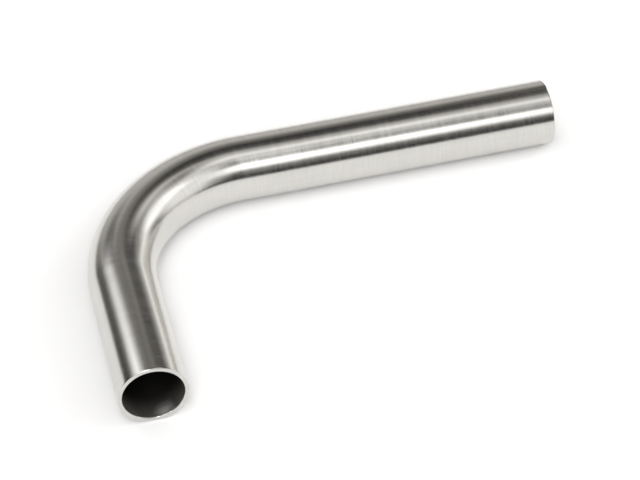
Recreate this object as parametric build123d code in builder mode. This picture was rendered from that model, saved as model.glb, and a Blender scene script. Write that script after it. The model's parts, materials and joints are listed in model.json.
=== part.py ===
from build123d import *
import os

# Driving sizes, in millimetres.
outer_diameter = 42.4  # outside of the round tube
wall_thickness = 2.6
bend_radius = 92.5  # to the centre line of the bend
long_leg_length = 207.5  # straight run, from the end of the bend to the cut end
short_leg_length = 92.5  # the same on the other side of the bend
outside_bevel = 0.5  # edge break round the outside of each cut end
bore_bevel = 0.4  # edge break round the bore of each cut end

# The tube's section and how far each leg reaches from the corner,
# the point where the two straight centre lines would cross.
outer_radius = outer_diameter / 2
bore_radius = outer_radius - wall_thickness
long_reach = bend_radius + long_leg_length
short_reach = bend_radius + short_leg_length

# The bend lies on its side, both legs flat on the ground at z = 0.
# The long leg runs along +X and the short leg along -Y.
# The origin is on the ground, under the middle of the bend's box.
axis_height = outer_radius
corner_x = (outer_radius - long_reach) / 2
corner_y = (short_reach - outer_radius) / 2
corner = (corner_x, corner_y)
long_end = (corner_x + long_reach, corner_y)
short_end = (corner_x, corner_y - short_reach)

# One tube, bent on a mandrel: its ring of metal keeps the same section
# along the long leg, round the quarter turn and along the short leg.
with BuildPart() as pipe_bend:
    with BuildLine(Plane.XY.offset(axis_height)) as centre_line:
        FilletPolyline(long_end, corner, short_end, radius=bend_radius)
    route = centre_line.wire()
    with BuildSketch(Plane(origin=route @ 0, z_dir=route % 0)) as tube_section:
        Circle(outer_radius)
        Circle(bore_radius, mode=Mode.SUBTRACT)
    sweep(path=route)

    # Each end is sawn square and its sharp edges are broken, outside and in the bore.
    cut_ends = pipe_bend.faces().filter_by(GeomType.PLANE)
    chamfer([end.outer_wire().edge() for end in cut_ends], length=outside_bevel)
    cut_ends = pipe_bend.faces().filter_by(GeomType.PLANE)
    chamfer([end.inner_wires()[0].edge() for end in cut_ends], length=bore_bevel)
pipe_bend.part.label = "pipe_bend"

os.makedirs("parts", exist_ok=True)
export_step(pipe_bend.part, "parts/pipe_bend.step")
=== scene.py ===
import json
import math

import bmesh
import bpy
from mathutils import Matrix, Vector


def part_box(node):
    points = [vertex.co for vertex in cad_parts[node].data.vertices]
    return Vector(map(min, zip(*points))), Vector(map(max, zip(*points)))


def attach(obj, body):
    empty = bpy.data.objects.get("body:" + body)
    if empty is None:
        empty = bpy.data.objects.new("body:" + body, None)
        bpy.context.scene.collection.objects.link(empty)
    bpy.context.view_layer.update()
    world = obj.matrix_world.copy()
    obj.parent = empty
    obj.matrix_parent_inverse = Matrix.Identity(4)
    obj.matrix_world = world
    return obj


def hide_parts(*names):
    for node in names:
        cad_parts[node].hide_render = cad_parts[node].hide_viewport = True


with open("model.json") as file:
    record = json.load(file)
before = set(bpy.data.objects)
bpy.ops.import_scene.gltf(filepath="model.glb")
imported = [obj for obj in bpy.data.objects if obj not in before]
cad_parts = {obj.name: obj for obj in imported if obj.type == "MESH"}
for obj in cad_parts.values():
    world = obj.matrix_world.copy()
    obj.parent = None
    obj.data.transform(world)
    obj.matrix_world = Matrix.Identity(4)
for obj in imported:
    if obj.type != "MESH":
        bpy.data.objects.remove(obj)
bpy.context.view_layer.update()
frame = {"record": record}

# %% [markdown]
# # A bent steel tube on a white studio floor
# The object is one length of round stainless tube, bent through a right angle on a mandrel
# and brushed all over. It lies on its side on a pale floor: a long straight leg runs away to
# the right, a quarter turn follows, and a short leg points its open mouth at the viewer.
# The solid loaded above is the frame of this lesson. Every size is read from it, so the
# finer mesh that is made here lands exactly where the solid is.

low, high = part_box("pipe_bend")
openings = {mount["name"]: mount for mount in frame["record"]["mounts"]}
long_outside = openings["long_end_outside"]
short_outside = openings["short_end_outside"]
OUTER_RADIUS = long_outside["dims"]["r_mm"] / 1000
BORE_RADIUS = openings["long_end_bore"]["dims"]["r_mm"] / 1000
corner = Vector((short_outside["pos_m"][0], long_outside["pos_m"][1], OUTER_RADIUS))

# %% [markdown]
# ## Where the tube goes
# A tube is easiest to describe by its centre line. This one has three runs: straight, a
# quarter of a circle, straight. The corner is the point where the two straight lines would
# cross if the tube had no bend, and the bend starts and ends one bend radius away from it.

# %% The centre line in three runs
long_run_ends_at = long_outside["pos_m"][0] - long_outside["dims"]["length_mm"] / 1000
BEND_RADIUS = long_run_ends_at - corner.x
LONG_LEG = high.x - long_run_ends_at
SHORT_LEG = corner.y - BEND_RADIUS - low.y
BEND_LENGTH = BEND_RADIUS * math.pi / 2
TUBE_LENGTH = LONG_LEG + BEND_LENGTH + SHORT_LEG
bend_centre = Vector((corner.x + BEND_RADIUS, corner.y - BEND_RADIUS, corner.z))
print(f"bend radius {1000 * BEND_RADIUS:.1f} mm, legs {1000 * LONG_LEG:.1f} and {1000 * SHORT_LEG:.1f} mm")
print(f"the centre line is {1000 * TUBE_LENGTH:.1f} mm long")


# %% [markdown]
# The next helper walks along that centre line. Given a distance from the long leg's open
# end, it answers with the point reached and the direction of travel there.

# %% Walking along the centre line
def along_the_tube(distance):
    if distance <= LONG_LEG:
        return Vector((high.x - distance, corner.y, corner.z)), Vector((-1, 0, 0))
    if distance <= LONG_LEG + BEND_LENGTH:
        angle = (distance - LONG_LEG) / BEND_RADIUS
        outward = Vector((-math.sin(angle), math.cos(angle), 0))
        return bend_centre + BEND_RADIUS * outward, Vector((-math.cos(angle), -math.sin(angle), 0))
    past_the_bend = distance - LONG_LEG - BEND_LENGTH
    return Vector((corner.x, corner.y - BEND_RADIUS - past_the_bend, corner.z)), Vector((0, -1, 0))


# %% [markdown]
# ## The camera
# The tube is seen from in front and above through a long lens, so it hardly narrows with
# distance. A camera's place is clearest when it is given from a point on the object, here
# the corner, and its aim as three turns: sideways, down, and a slight tilt of the frame.

# %% Camera
LENS_MM = 124.03
CAMERA_FROM_CORNER = Vector((-0.1005, -1.0745, 0.9172))
CAMERA_TURN = math.radians(-12.831)
CAMERA_DOWN = math.radians(42.018)
CAMERA_TILT = math.radians(-2.215)

camera_data = bpy.data.cameras.new("camera")
camera_data.lens = LENS_MM
camera_data.sensor_width = 36
camera_data.clip_start = 0.01
camera = bpy.data.objects.new("camera", camera_data)
aim = Matrix.Rotation(CAMERA_TURN, 4, "Z")
aim = aim @ Matrix.Rotation(math.pi / 2 - CAMERA_DOWN, 4, "X") @ Matrix.Rotation(CAMERA_TILT, 4, "Z")
camera.matrix_world = Matrix.Translation(corner + CAMERA_FROM_CORNER) @ aim
bpy.context.scene.collection.objects.link(camera)
bpy.context.scene.camera = camera
bpy.context.scene.view_settings.view_transform = "Standard"
print("camera", [round(v, 3) for v in camera.matrix_world.translation])

# %% [markdown]
# ## The tube's wall as rings
# The whole wall can be drawn as rings of points set on the centre line. Each ring is a pair
# of numbers: how far along the tube it sits, and how far from the centre line its points
# are. The outside rings run from the long end to the short end. Straight runs need few
# rings, because a straight tube has nothing to bend, and the quarter turn needs many.

# %% Rings on the outside and in the bore
RING_GAP_ON_LEGS = 0.012
RINGS_IN_BEND = 72


def run_of_stops(start, end, gap):
    count = max(1, round((end - start) / gap))
    return [start + (end - start) * step / count for step in range(count)]


END_ZONE = 0.004
wall_stops = run_of_stops(END_ZONE, LONG_LEG, RING_GAP_ON_LEGS)
wall_stops += run_of_stops(LONG_LEG, LONG_LEG + BEND_LENGTH, BEND_LENGTH / RINGS_IN_BEND)
wall_stops += run_of_stops(LONG_LEG + BEND_LENGTH, TUBE_LENGTH - END_ZONE, RING_GAP_ON_LEGS)
wall_stops.append(TUBE_LENGTH - END_ZONE)
print(len(wall_stops), "rings along the wall")

# %% [markdown]
# ## Edges broken by hand
# A sawn end is sharp, so the edge is filed round. On the real tube that is done by hand,
# and the width of the rounding changes as it goes round the rim: where it is wide it
# catches a bright line of light. So the rounding here is a width that depends on the angle
# round the tube, from a few soft swells of different size.

# %% How wide the filed edge is
NARROW_BREAK = 0.00030
WIDE_BREAK = 0.00095
BORE_BREAK = 0.00040
WIDE_BORE_BREAK = 0.00078


def swell(angle, at, reach):
    """1 at one angle, fading to 0 over a reach on both sides (all in degrees)."""
    away = abs((angle - at + 180) % 360 - 180)
    return max(0.0, 1 - (away / reach) ** 2) ** 2


def filed_width(angle):
    """Width of the outer rounding at an angle round the mouth, 0 facing right and 90 up."""
    filed = swell(angle, 108, 19) + 0.9 * swell(angle, 79, 15)
    filed += 0.3 * swell(angle, 190, 50) + 0.5 * swell(angle, 335, 45) + 0.4 * swell(angle, 20, 20)
    return NARROW_BREAK + (WIDE_BREAK - NARROW_BREAK) * min(filed, 1.0)


def bore_width(angle):
    """Width of the inner rounding, which the file cut deepest at the bottom of the bore."""
    return BORE_BREAK + (WIDE_BORE_BREAK - BORE_BREAK) * swell(angle, 252, 80)


print("outer edge filed", f"{1000 * filed_width(150):.2f} to {1000 * filed_width(108):.2f} mm wide")
print("inner edge filed", f"{1000 * bore_width(90):.2f} to {1000 * bore_width(252):.2f} mm wide")

# %% [markdown]
# A saw also pushes a little metal over the inner edge. One such burr is left on the lip of
# the near mouth, low on the right. It is a low step that stands into the bore and ends
# sharply, so it is modelled as an inward push on the bore's last rings.

# %% The burr on the near mouth's inner lip
BURR_START, BURR_END = 276.0, 299.5
BURR_HEIGHT = 0.00045
BURR_DEPTH = 0.0012


def burr(angle, depth):
    """How far the lip stands into the bore at an angle and a depth inside the near mouth."""
    if not BURR_START < angle < BURR_END or depth > BURR_DEPTH:
        return 0.0
    rise = min(1.0, (angle - BURR_START) / 6) * min(1.0, (BURR_END - angle) / 1.2)
    return BURR_HEIGHT * rise * (1 - (depth / BURR_DEPTH) ** 2)


# %% [markdown]
# Each end of the tube is drawn from the outside wall, over the rounded outer edge, across
# the flat sawn face and round the inner edge into the bore. The rings sit close together
# near each edge, so that the shading of the flat and the round parts doesn't smear.

# %% The rings of one open end
EDGE_STEPS = 6


def end_rings(near_mouth):
    """(depth from the end, distance from the axis) for each ring, each a function of the angle."""
    rings = [lambda a, d=d: (d, OUTER_RADIUS) for d in (0.0022, 0.0013)]
    for step in range(EDGE_STEPS + 1):
        turn = math.pi / 2 * (1 - step / EDGE_STEPS)
        rings.append(lambda a, t=turn: (filed_width(a) * (1 - math.cos(t)),
                                        OUTER_RADIUS - filed_width(a) * (1 - math.sin(t))))
    rings.append(lambda a: (0.0, OUTER_RADIUS - filed_width(a) - 0.00012))
    lip = (lambda a, d: burr(a, d)) if near_mouth else (lambda a, d: 0.0)
    rings.append(lambda a: (0.0, BORE_RADIUS + bore_width(a) + 0.00012 - lip(a, 0)))
    for step in range(EDGE_STEPS + 1):
        turn = math.pi / 2 * step / EDGE_STEPS
        rings.append(lambda a, t=turn: (bore_width(a) * (1 - math.cos(t)),
                                        BORE_RADIUS + bore_width(a) * (1 - math.sin(t))
                                        - lip(a, bore_width(a) * (1 - math.cos(t)))))
    rings += [lambda a, d=d: (d, BORE_RADIUS - lip(a, d)) for d in (0.0009, 0.0011, 0.0014, 0.0024)]
    return rings


# %% [markdown]
# Now all rings are put in one closed order: along the outside to the short end, through
# that end into the bore, back along the bore, and out over the long end. Every ring has
# the same number of points, so the skin between two rings is a belt of four-sided faces.

# %% All rings in order
POINTS_ROUND = 300


def fixed_ring(distance, radius):
    return lambda a: (distance, radius)


def from_long_end(ring):
    return lambda a: ring(a)


def from_short_end(ring):
    return lambda a: (TUBE_LENGTH - ring(a)[0], ring(a)[1])


long_end_rings = end_rings(near_mouth=False)
short_end_rings = end_rings(near_mouth=True)
rings = [fixed_ring(stop, OUTER_RADIUS) for stop in wall_stops]
rings += [from_short_end(ring) for ring in short_end_rings]
rings += [fixed_ring(stop, BORE_RADIUS) for stop in reversed(wall_stops)]
rings += [from_long_end(ring) for ring in reversed(long_end_rings)]
bore_starts = len(wall_stops) + len(short_end_rings) - 4
bore_ends = len(rings) - len(long_end_rings) + 4
print(len(rings), "rings of", POINTS_ROUND, "points")

# %% [markdown]
# ## Skinning the rings
# `bmesh` takes the points one ring at a time. Beside its place, each point also remembers
# where it would lie if the tube were pulled straight again. Brush lines and streaks are
# laid out in that straightened tube, so they follow the bend without a seam.

# %% The tube's mesh
mesh = bpy.data.meshes.new("bent_tube")
skin = bmesh.new()
straightened = skin.verts.layers.float_vector.new("straightened")
inside = skin.verts.layers.float.new("inside")
brushing = skin.loops.layers.uv.new("along_and_round")
ring_points = []
for number, ring in enumerate(rings):
    points = []
    for step in range(POINTS_ROUND):
        angle = 2 * math.pi * step / POINTS_ROUND
        distance, radius = ring(math.degrees(angle))
        centre, ahead = along_the_tube(distance)
        outward = math.cos(angle) * Vector((0, 0, 1)).cross(ahead) + math.sin(angle) * Vector((0, 0, 1))
        point = skin.verts.new(centre + radius * outward)
        point[straightened] = (distance, radius * math.cos(angle), radius * math.sin(angle))
        point[inside] = 1.0 if bore_starts <= number < bore_ends else 0.0
        points.append(point)
    ring_points.append(points)

# %% [markdown]
# Each face also gets a UV place that measures the distance walked across the rings, and
# the distance round the tube. The brushed finish needs this to know which way is "along".

# %% The belts between the rings
walked = [0.0]
for ring, following in zip(rings, rings[1:] + rings[:1]):
    here, there = Vector(ring(0)), Vector(following(0))
    walked.append(walked[-1] + (there - here).length)
round_step = 2 * math.pi * OUTER_RADIUS / POINTS_ROUND

for number in range(len(rings)):
    this_ring = ring_points[number]
    next_ring = ring_points[(number + 1) % len(rings)]
    for step in range(POINTS_ROUND):
        after = (step + 1) % POINTS_ROUND
        face = skin.faces.new((this_ring[step], this_ring[after], next_ring[after], next_ring[step]))
        face.smooth = True
        corners = ((number, step), (number, step + 1), (number + 1, step + 1), (number + 1, step))
        for loop, (row, column) in zip(face.loops, corners):
            loop[brushing].uv = (walked[row], column * round_step)
skin.to_mesh(mesh)
skin.free()

tube = bpy.data.objects.new("bent_tube", mesh)
bpy.context.scene.collection.objects.link(tube)
print("the tube has", len(mesh.vertices), "points and", 2 * len(mesh.polygons), "triangles")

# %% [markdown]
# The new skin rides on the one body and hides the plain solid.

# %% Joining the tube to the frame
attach(tube, "root")
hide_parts("pipe_bend")


# %% [markdown]
# ## Brushed stainless steel
# Brushed steel is a mirror with very fine scratches that all run the same way, here round
# the tube, as a belt leaves them. The scratches spread reflections along the tube and
# hardly across it. A shader has this built in: it is called anisotropy, and it needs a
# tangent, the direction along which light is spread. On top come things the eye can see:
# fine lines, soft bands of more or less polish, and faint streaks drawn along the tube
# when it was pulled through the bender.

# %% Helpers for the finish
def put(nodes, kind, **settings):
    """Add a shader node and set its plain options by name."""
    node = nodes.new(kind)
    for name, value in settings.items():
        setattr(node, name, value)
    return node


def stretched_noise(nodes, links, along_mm, round_mm, detail):
    """Noise whose grain is so many millimetres long along the tube and so many round it."""
    place = put(nodes, "ShaderNodeAttribute", attribute_name="straightened")
    stretch = put(nodes, "ShaderNodeVectorMath", operation="MULTIPLY")
    stretch.inputs[1].default_value = (1000 / along_mm, 1000 / round_mm, 1000 / round_mm)
    noise = put(nodes, "ShaderNodeTexNoise")
    noise.inputs["Scale"].default_value = 1.0
    noise.inputs["Detail"].default_value = detail
    links.new(place.outputs["Vector"], stretch.inputs[0])
    links.new(stretch.outputs[0], noise.inputs["Vector"])
    return noise.outputs["Fac"]


def spread(nodes, links, value, lowest, highest):
    """Turn a noise value into a range of shader values."""
    node = put(nodes, "ShaderNodeMapRange", interpolation_type="SMOOTHSTEP")
    node.inputs["From Min"].default_value = 0.3
    node.inputs["From Max"].default_value = 0.7
    node.inputs["To Min"].default_value = lowest
    node.inputs["To Max"].default_value = highest
    links.new(value, node.inputs["Value"])
    return node.outputs["Result"]


def combine(nodes, links, operation, first, second):
    node = put(nodes, "ShaderNodeMath", operation=operation)
    for socket, value in zip(node.inputs, (first, second)):
        if isinstance(value, float):
            socket.default_value = value
        else:
            links.new(value, socket)
    return node.outputs[0]


# %% The finish as nodes
STEEL = (0.64, 0.628, 0.60, 1)
BRUSH_SPREAD = 0.56

steel = bpy.data.materials.new("brushed_stainless")
steel.use_nodes = True
nodes, links = steel.node_tree.nodes, steel.node_tree.links
shader = nodes["Principled BSDF"]
shader.inputs["Anisotropic"].default_value = BRUSH_SPREAD
grain = put(nodes, "ShaderNodeTangent", direction_type="UV_MAP", uv_map="along_and_round")
links.new(grain.outputs["Tangent"], shader.inputs["Tangent"])

fine_lines = stretched_noise(nodes, links, along_mm=0.8, round_mm=18, detail=1)
soft_bands = stretched_noise(nodes, links, along_mm=3.5, round_mm=22, detail=3)
drawn_streaks = stretched_noise(nodes, links, along_mm=55, round_mm=2.2, detail=2)
clouds = stretched_noise(nodes, links, along_mm=24, round_mm=14, detail=3)

# %% Shade of the steel
line_shade = spread(nodes, links, fine_lines, 0.965, 1.035)
band_shade = spread(nodes, links, soft_bands, 0.994, 1.006)
streak_shade = spread(nodes, links, drawn_streaks, 0.985, 1.015)
cloud_shade = spread(nodes, links, clouds, 0.985, 1.015)
shade = combine(nodes, links, "MULTIPLY", line_shade, band_shade)
shade = combine(nodes, links, "MULTIPLY", shade, streak_shade)
shade = combine(nodes, links, "MULTIPLY", shade, cloud_shade)
tone = put(nodes, "ShaderNodeVectorMath", operation="SCALE")
tone.inputs[0].default_value = STEEL[:3]
links.new(shade, tone.inputs["Scale"])

# %% [markdown]
# The bore was never brushed. It is coloured near black and dull, so it soaks up light
# instead of mirroring it. Near the open ends the colour is greyer, a painted light for the
# light that reaches in at the mouth, and above the burr a spot the size of a fingertip is
# painted almost bright, a painted glint.
# How deep a point lies is read from its place in the straightened tube.

# %% How far inside the bore
in_bore = put(nodes, "ShaderNodeAttribute", attribute_name="inside").outputs["Fac"]
place = put(nodes, "ShaderNodeAttribute", attribute_name="straightened").outputs["Vector"]
place_parts = put(nodes, "ShaderNodeSeparateXYZ")
links.new(place, place_parts.inputs[0])
from_far_end = place_parts.outputs[0]
from_near_end = combine(nodes, links, "SUBTRACT", TUBE_LENGTH, from_far_end)
depth = combine(nodes, links, "MINIMUM", from_far_end, from_near_end)


def fade(value, start, end):
    """1 up to a start, falling softly to 0 at an end."""
    node = put(nodes, "ShaderNodeMapRange", interpolation_type="SMOOTHSTEP")
    node.inputs["From Min"].default_value = start
    node.inputs["From Max"].default_value = end
    node.inputs["To Min"].default_value = 1.0
    node.inputs["To Max"].default_value = 0.0
    links.new(value, node.inputs["Value"])
    return node.outputs["Result"]


def blend(share, first, second):
    """Mix two colours, each a colour or the output of a node."""
    node = put(nodes, "ShaderNodeMix", data_type="RGBA", clamp_factor=True)
    links.new(share, node.inputs["Factor"])
    for name, colour in (("A", first), ("B", second)):
        if isinstance(colour, tuple):
            node.inputs[name].default_value = colour
        else:
            links.new(colour, node.inputs[name])
    return node.outputs["Result"]


# %% Bore colour: near black, with painted light near the ends and a painted glint
# Near-black colour of the bore.
NEAR_BLACK_BORE = (0.009, 0.0078, 0.0067, 1)
PAINTED_MOUTH_LIGHT = (0.105, 0.098, 0.09, 1)
PAINTED_GLINT = (0.42, 0.41, 0.395, 1)
GLINT_ANGLE = math.radians(289)
GLINT_DEPTH = 0.0020
GLINT_LENGTH = 0.0105
GLINT_WIDTH = 0.0088

# Painted light and shade: the bore's colour is greyer towards each open end, where light reaches in, and darker
# deeper in.
painted_mouth_light_share = combine(nodes, links, "MULTIPLY", fade(depth, 0.001, 0.019), spread(nodes, links, clouds, 0.5, 1.0))
bore_colour_and_painted_light = blend(painted_mouth_light_share, NEAR_BLACK_BORE, PAINTED_MOUTH_LIGHT)

# Painted glint: a bright spot painted on the bore above the burr of the near mouth.
glint_offset = put(nodes, "ShaderNodeVectorMath", operation="SUBTRACT")
glint_height = BORE_RADIUS * math.sin(GLINT_ANGLE)
glint_offset.inputs[1].default_value = (TUBE_LENGTH - GLINT_DEPTH, BORE_RADIUS * math.cos(GLINT_ANGLE), glint_height)
links.new(place, glint_offset.inputs[0])
glint_size = put(nodes, "ShaderNodeVectorMath", operation="MULTIPLY")
glint_size.inputs[1].default_value = (1 / GLINT_LENGTH, 1 / GLINT_WIDTH, 1 / GLINT_WIDTH)
links.new(glint_offset.outputs[0], glint_size.inputs[0])
glint_distance = put(nodes, "ShaderNodeVectorMath", operation="LENGTH")
links.new(glint_size.outputs[0], glint_distance.inputs[0])
painted_glint_share = fade(glint_distance.outputs["Value"], -0.2, 1.0)
painted_glint_share = combine(nodes, links, "MULTIPLY", painted_glint_share, spread(nodes, links, soft_bands, 0.6, 1.0))
bore_colour_and_painted_light = blend(painted_glint_share, bore_colour_and_painted_light, PAINTED_GLINT)
links.new(blend(in_bore, tone.outputs[0], bore_colour_and_painted_light), shader.inputs["Base Color"])

# %% Scale is no metal
OXIDE_SHARE = 0.95
bare_metal = put(nodes, "ShaderNodeMapRange")
bare_metal.inputs["To Min"].default_value = 1.0
bare_metal.inputs["To Max"].default_value = 1.0 - OXIDE_SHARE
links.new(in_bore, bare_metal.inputs["Value"])
links.new(bare_metal.outputs["Result"], shader.inputs["Metallic"])
shader.inputs["Specular IOR Level"].default_value = 0.2

# %% Polish and relief
SATIN = 0.215
line_polish = spread(nodes, links, fine_lines, -0.014, 0.014)
band_polish = spread(nodes, links, soft_bands, -0.003, 0.003)
polish = combine(nodes, links, "ADD", line_polish, band_polish)
polish = combine(nodes, links, "ADD", polish, SATIN)
bore_polish = combine(nodes, links, "MULTIPLY", in_bore, 0.35)
polish = combine(nodes, links, "ADD", polish, bore_polish)
links.new(polish, shader.inputs["Roughness"])

relief = put(nodes, "ShaderNodeBump")
relief.inputs["Strength"].default_value = 0.35
relief.inputs["Distance"].default_value = 0.000006
links.new(fine_lines, relief.inputs["Height"])
links.new(relief.outputs["Normal"], shader.inputs["Normal"])
mesh.materials.append(steel)
print("brushed steel made from", len(nodes), "nodes")

# %% [markdown]
# ## The floor
# The floor is a wide sheet of matt white paper, so it shows the tube's soft shadow and
# nothing else. It ends a few steps behind the camera, and the steel mirrors that edge as
# the upper border of its bright lower band. A picture of a white sheet is exposed so that
# the sheet just turns to clean white. Here that is done in the paper's colour: the light
# that the sheet throws back on other things is that of real paper, and what the camera
# and the mirror of the steel see is a little brighter. The shadow keeps its shape.

# %% Floor sheet
FLOOR_REACH = 20.0
FLOOR_TO_VIEWER = 2.3
sheet = bpy.data.meshes.new("floor")
outline = bmesh.new()
floor_corners = [(-FLOOR_REACH, -FLOOR_TO_VIEWER), (FLOOR_REACH, -FLOOR_TO_VIEWER),
                 (FLOOR_REACH, FLOOR_REACH), (-FLOOR_REACH, FLOOR_REACH)]
outline.faces.new([outline.verts.new((x, y, 0)) for x, y in floor_corners])
outline.to_mesh(sheet)
outline.free()
floor = bpy.data.objects.new("floor", sheet)
bpy.context.scene.collection.objects.link(floor)

# %% Paper
PAPER = (0.80, 0.80, 0.80, 1)
PAPER_AS_SEEN = (1.13, 1.13, 1.13, 1)
paper = bpy.data.materials.new("white_paper")
paper.use_nodes = True
paper_nodes, paper_links = paper.node_tree.nodes, paper.node_tree.links
paper_nodes.clear()
matt = put(paper_nodes, "ShaderNodeBsdfDiffuse")
surface = put(paper_nodes, "ShaderNodeOutputMaterial")
paper_links.new(matt.outputs["BSDF"], surface.inputs["Surface"])
ray = put(paper_nodes, "ShaderNodeLightPath")
seen = combine(paper_nodes, paper_links, "MAXIMUM", ray.outputs["Is Camera Ray"], ray.outputs["Is Glossy Ray"])
seen = combine(paper_nodes, paper_links, "MAXIMUM", seen, ray.outputs["Is Transmission Ray"])
before_any_bounce = combine(paper_nodes, paper_links, "LESS_THAN", ray.outputs["Diffuse Depth"], 0.5)
seen = combine(paper_nodes, paper_links, "MULTIPLY", seen, before_any_bounce)
shade_of_paper = put(paper_nodes, "ShaderNodeMix", data_type="RGBA")
shade_of_paper.inputs["A"].default_value = PAPER
shade_of_paper.inputs["B"].default_value = PAPER_AS_SEEN
paper_links.new(seen, shade_of_paper.inputs["Factor"])
paper_links.new(shade_of_paper.outputs["Result"], matt.inputs["Color"])
sheet.materials.append(paper)

# %% [markdown]
# ## The studio
# A polished tube is a mirror, so its look is made by what stands round it. The studio is
# painted straight on the world's sky: a white room, with soft boxes that are brighter than
# the walls, and dark cards and the unlit end of the room, which give the tube its dark
# lines. Each is a soft-edged patch with a compass direction, a height above the horizon,
# a width, a height and a light that it adds or takes away.

# %% Directions in the sky
world = bpy.data.worlds.new("studio")
bpy.context.scene.world = world
world.use_nodes = True
sky_nodes, sky_links = world.node_tree.nodes, world.node_tree.links
background = sky_nodes["Background"]
direction = put(sky_nodes, "ShaderNodeTexCoord").outputs["Generated"]
parts = put(sky_nodes, "ShaderNodeSeparateXYZ")
sky_links.new(direction, parts.inputs[0])
east, north, up = parts.outputs


def sky_math(operation, first, second=0.0):
    return combine(sky_nodes, sky_links, operation, first, second)


compass = sky_math("MULTIPLY", sky_math("ARCTAN2", east, north), 180 / math.pi)
height = sky_math("MULTIPLY", sky_math("ARCSINE", up), 180 / math.pi)
safe_up = sky_math("MAXIMUM", up, 0.0001)
ceiling_east = sky_math("DIVIDE", east, safe_up)
ceiling_north = sky_math("DIVIDE", north, safe_up)


# %% One soft-edged patch
def soft_edge(distance, half_size, softness):
    """1 in the middle, 0 outside, with a gentle slope across the edge."""
    slope = put(sky_nodes, "ShaderNodeMapRange", interpolation_type="SMOOTHSTEP")
    slope.inputs["From Min"].default_value = half_size - softness
    slope.inputs["From Max"].default_value = half_size + softness
    slope.inputs["To Min"].default_value = 1.0
    slope.inputs["To Max"].default_value = 0.0
    sky_links.new(sky_math("ABSOLUTE", distance), slope.inputs["Value"])
    return slope.outputs["Result"]


def wrapped(angle):
    turn = put(sky_nodes, "ShaderNodeMath", operation="WRAP")
    turn.inputs[1].default_value = 180
    turn.inputs[2].default_value = -180
    sky_links.new(angle, turn.inputs[0])
    return turn.outputs[0]


sky_light = []


def wall_patch(name, toward, above, width, tall, softness, light):
    """A patch at so many degrees clockwise from the back of the room and above the horizon."""
    sideways = soft_edge(wrapped(sky_math("SUBTRACT", compass, float(toward))), width / 2, softness)
    upward = soft_edge(sky_math("SUBTRACT", height, float(above)), tall / 2, softness)
    sky_light.append(sky_math("MULTIPLY", sky_math("MULTIPLY", sideways, upward), float(light)))
    print(f"{name}: {light:+.2f}")


def ceiling_patch(name, toward_right, toward_back, width, deep, softness, light):
    """A patch on a ceiling one unit up, placed in units to the right and to the back."""
    sideways = soft_edge(sky_math("SUBTRACT", ceiling_east, float(toward_right)), width / 2, softness)
    backward = soft_edge(sky_math("SUBTRACT", ceiling_north, float(toward_back)), deep / 2, softness)
    overhead = sky_math("GREATER_THAN", up, 0.05)
    patch = sky_math("MULTIPLY", sky_math("MULTIPLY", sideways, backward), overhead)
    sky_light.append(sky_math("MULTIPLY", patch, float(light)))
    print(f"{name}: {light:+.2f}")


# %% The room and its lights
ROOM = 0.73
wall_patch("unlit back of the room", 0, 20.5, 180, 68, 9, -0.84)
wall_patch("grey backdrop", 0, 17.5, 70, 51, 25, 0.775)
wall_patch("thin dark band over the backdrop", 0, 40.5, 27, 2, 10.5, -0.28)
wall_patch("high part of the back wall", 51.5, 74, 158, 17, 8.5, 1.0)
wall_patch("soft box back left", -31.3, 39.5, 24, 18, 13.5, 3.85)
wall_patch("soft box back right", 53, 46.5, 29, 26, 24, 5.1)
wall_patch("low strip right", 49, 7.5, 33, 2, 11.3, 2.85)
wall_patch("soft box right", 75.6, 34.3, 23.5, 38, 6.2, 1.68)
wall_patch("card left of the backdrop", -22.8, 32.8, 18.5, 18, 9, -2.5)
wall_patch("card right of the backdrop", 53.5, 37, 51.5, 17, 14.5, -2.5)
wall_patch("dark corner low left", -78, 3.7, 36, 22.5, 17.7, -0.82)
wall_patch("bright right side of the room", 107, 33, 102, 54, 2.4, 0.44)
wall_patch("left side of the room", -125, 16, 117, 47, 2.3, 0.24)
wall_patch("large soft box behind the viewer", 187, 50, 43, 33.5, 18, 6.0)
wall_patch("dark floor edge behind the viewer", 209.5, -2.2, 143, 19, 17, -2.5)
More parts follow.
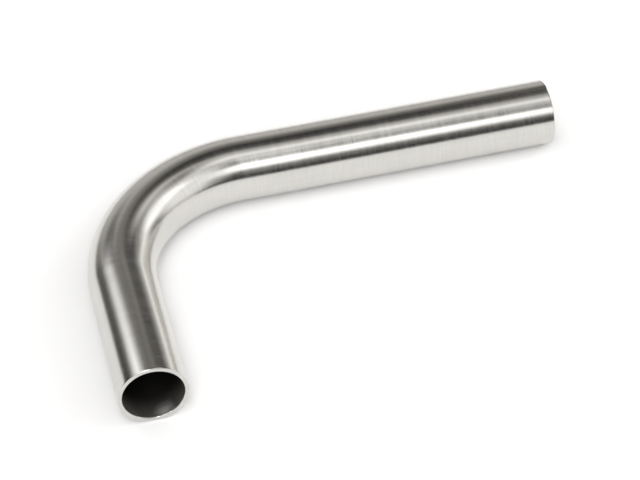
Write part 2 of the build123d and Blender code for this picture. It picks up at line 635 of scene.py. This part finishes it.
wall_patch("the viewer", 174.5, 52, 16, 60, 9.3, -2.3)
wall_patch("card over the viewer", 161.3, 55.7, 33, 15, 5.4, -2.5)
wall_patch("grey wall beside the viewer", 153.5, 20.7, 32, 15, 1.7, -0.55)
ceiling_patch("ceiling light", 0.475, -0.157, 1.51, 0.68, 0.16, 1.22)
ceiling_patch("ceiling gap", 0.52, 0.10, 1.07, 1.05, 0.29, -2.35)
ceiling_patch("ceiling strip", 0.98, -0.148, 2.4, 0.254, 0.14, 0.94)

total = ROOM
for patch in sky_light:
    total = sky_math("ADD", patch, total)
total = sky_math("MAXIMUM", total, 0.0)

# %% [markdown]
# Where no lamp reaches them, the walls are a warm grey, and lowest down, near the horizon,
# they are warmer still. The steel shows it as a thin brownish line along its far edges.

# %% Warm walls in the unlit part
UNLIT_WALL = (1.0, 0.95, 0.87, 1)
LIT_WALL = (1.0, 1.0, 1.0, 1)
LOW_WALL = (1.0, 0.93, 0.81, 1)


def sky_blend(share, first, second):
    node = put(sky_nodes, "ShaderNodeMix", data_type="RGBA", clamp_factor=True)
    sky_links.new(share, node.inputs["Factor"])
    for name, colour in (("A", first), ("B", second)):
        if isinstance(colour, tuple):
            node.inputs[name].default_value = colour
        else:
            sky_links.new(colour, node.inputs[name])
    return node.outputs["Result"]


near_horizon = soft_edge(height, 4.0, 7.0)
wall_colour = sky_blend(total, UNLIT_WALL, LIT_WALL)
wall_colour = sky_blend(near_horizon, wall_colour, LOW_WALL)

# %% [markdown]
# The camera itself looks past all this at plain white, so that a low view from any side
# has a clean background. Only light and mirror rays meet the painted studio.

# %% White behind everything
to_camera = put(sky_nodes, "ShaderNodeLightPath").outputs["Is Camera Ray"]
sky_links.new(sky_blend(to_camera, wall_colour, LIT_WALL), background.inputs["Color"])
strength = put(sky_nodes, "ShaderNodeMix", data_type="FLOAT")
sky_links.new(to_camera, strength.inputs["Factor"])
sky_links.new(total, strength.inputs["A"])
strength.inputs["B"].default_value = 1.0
sky_links.new(strength.outputs["Result"], background.inputs["Strength"])
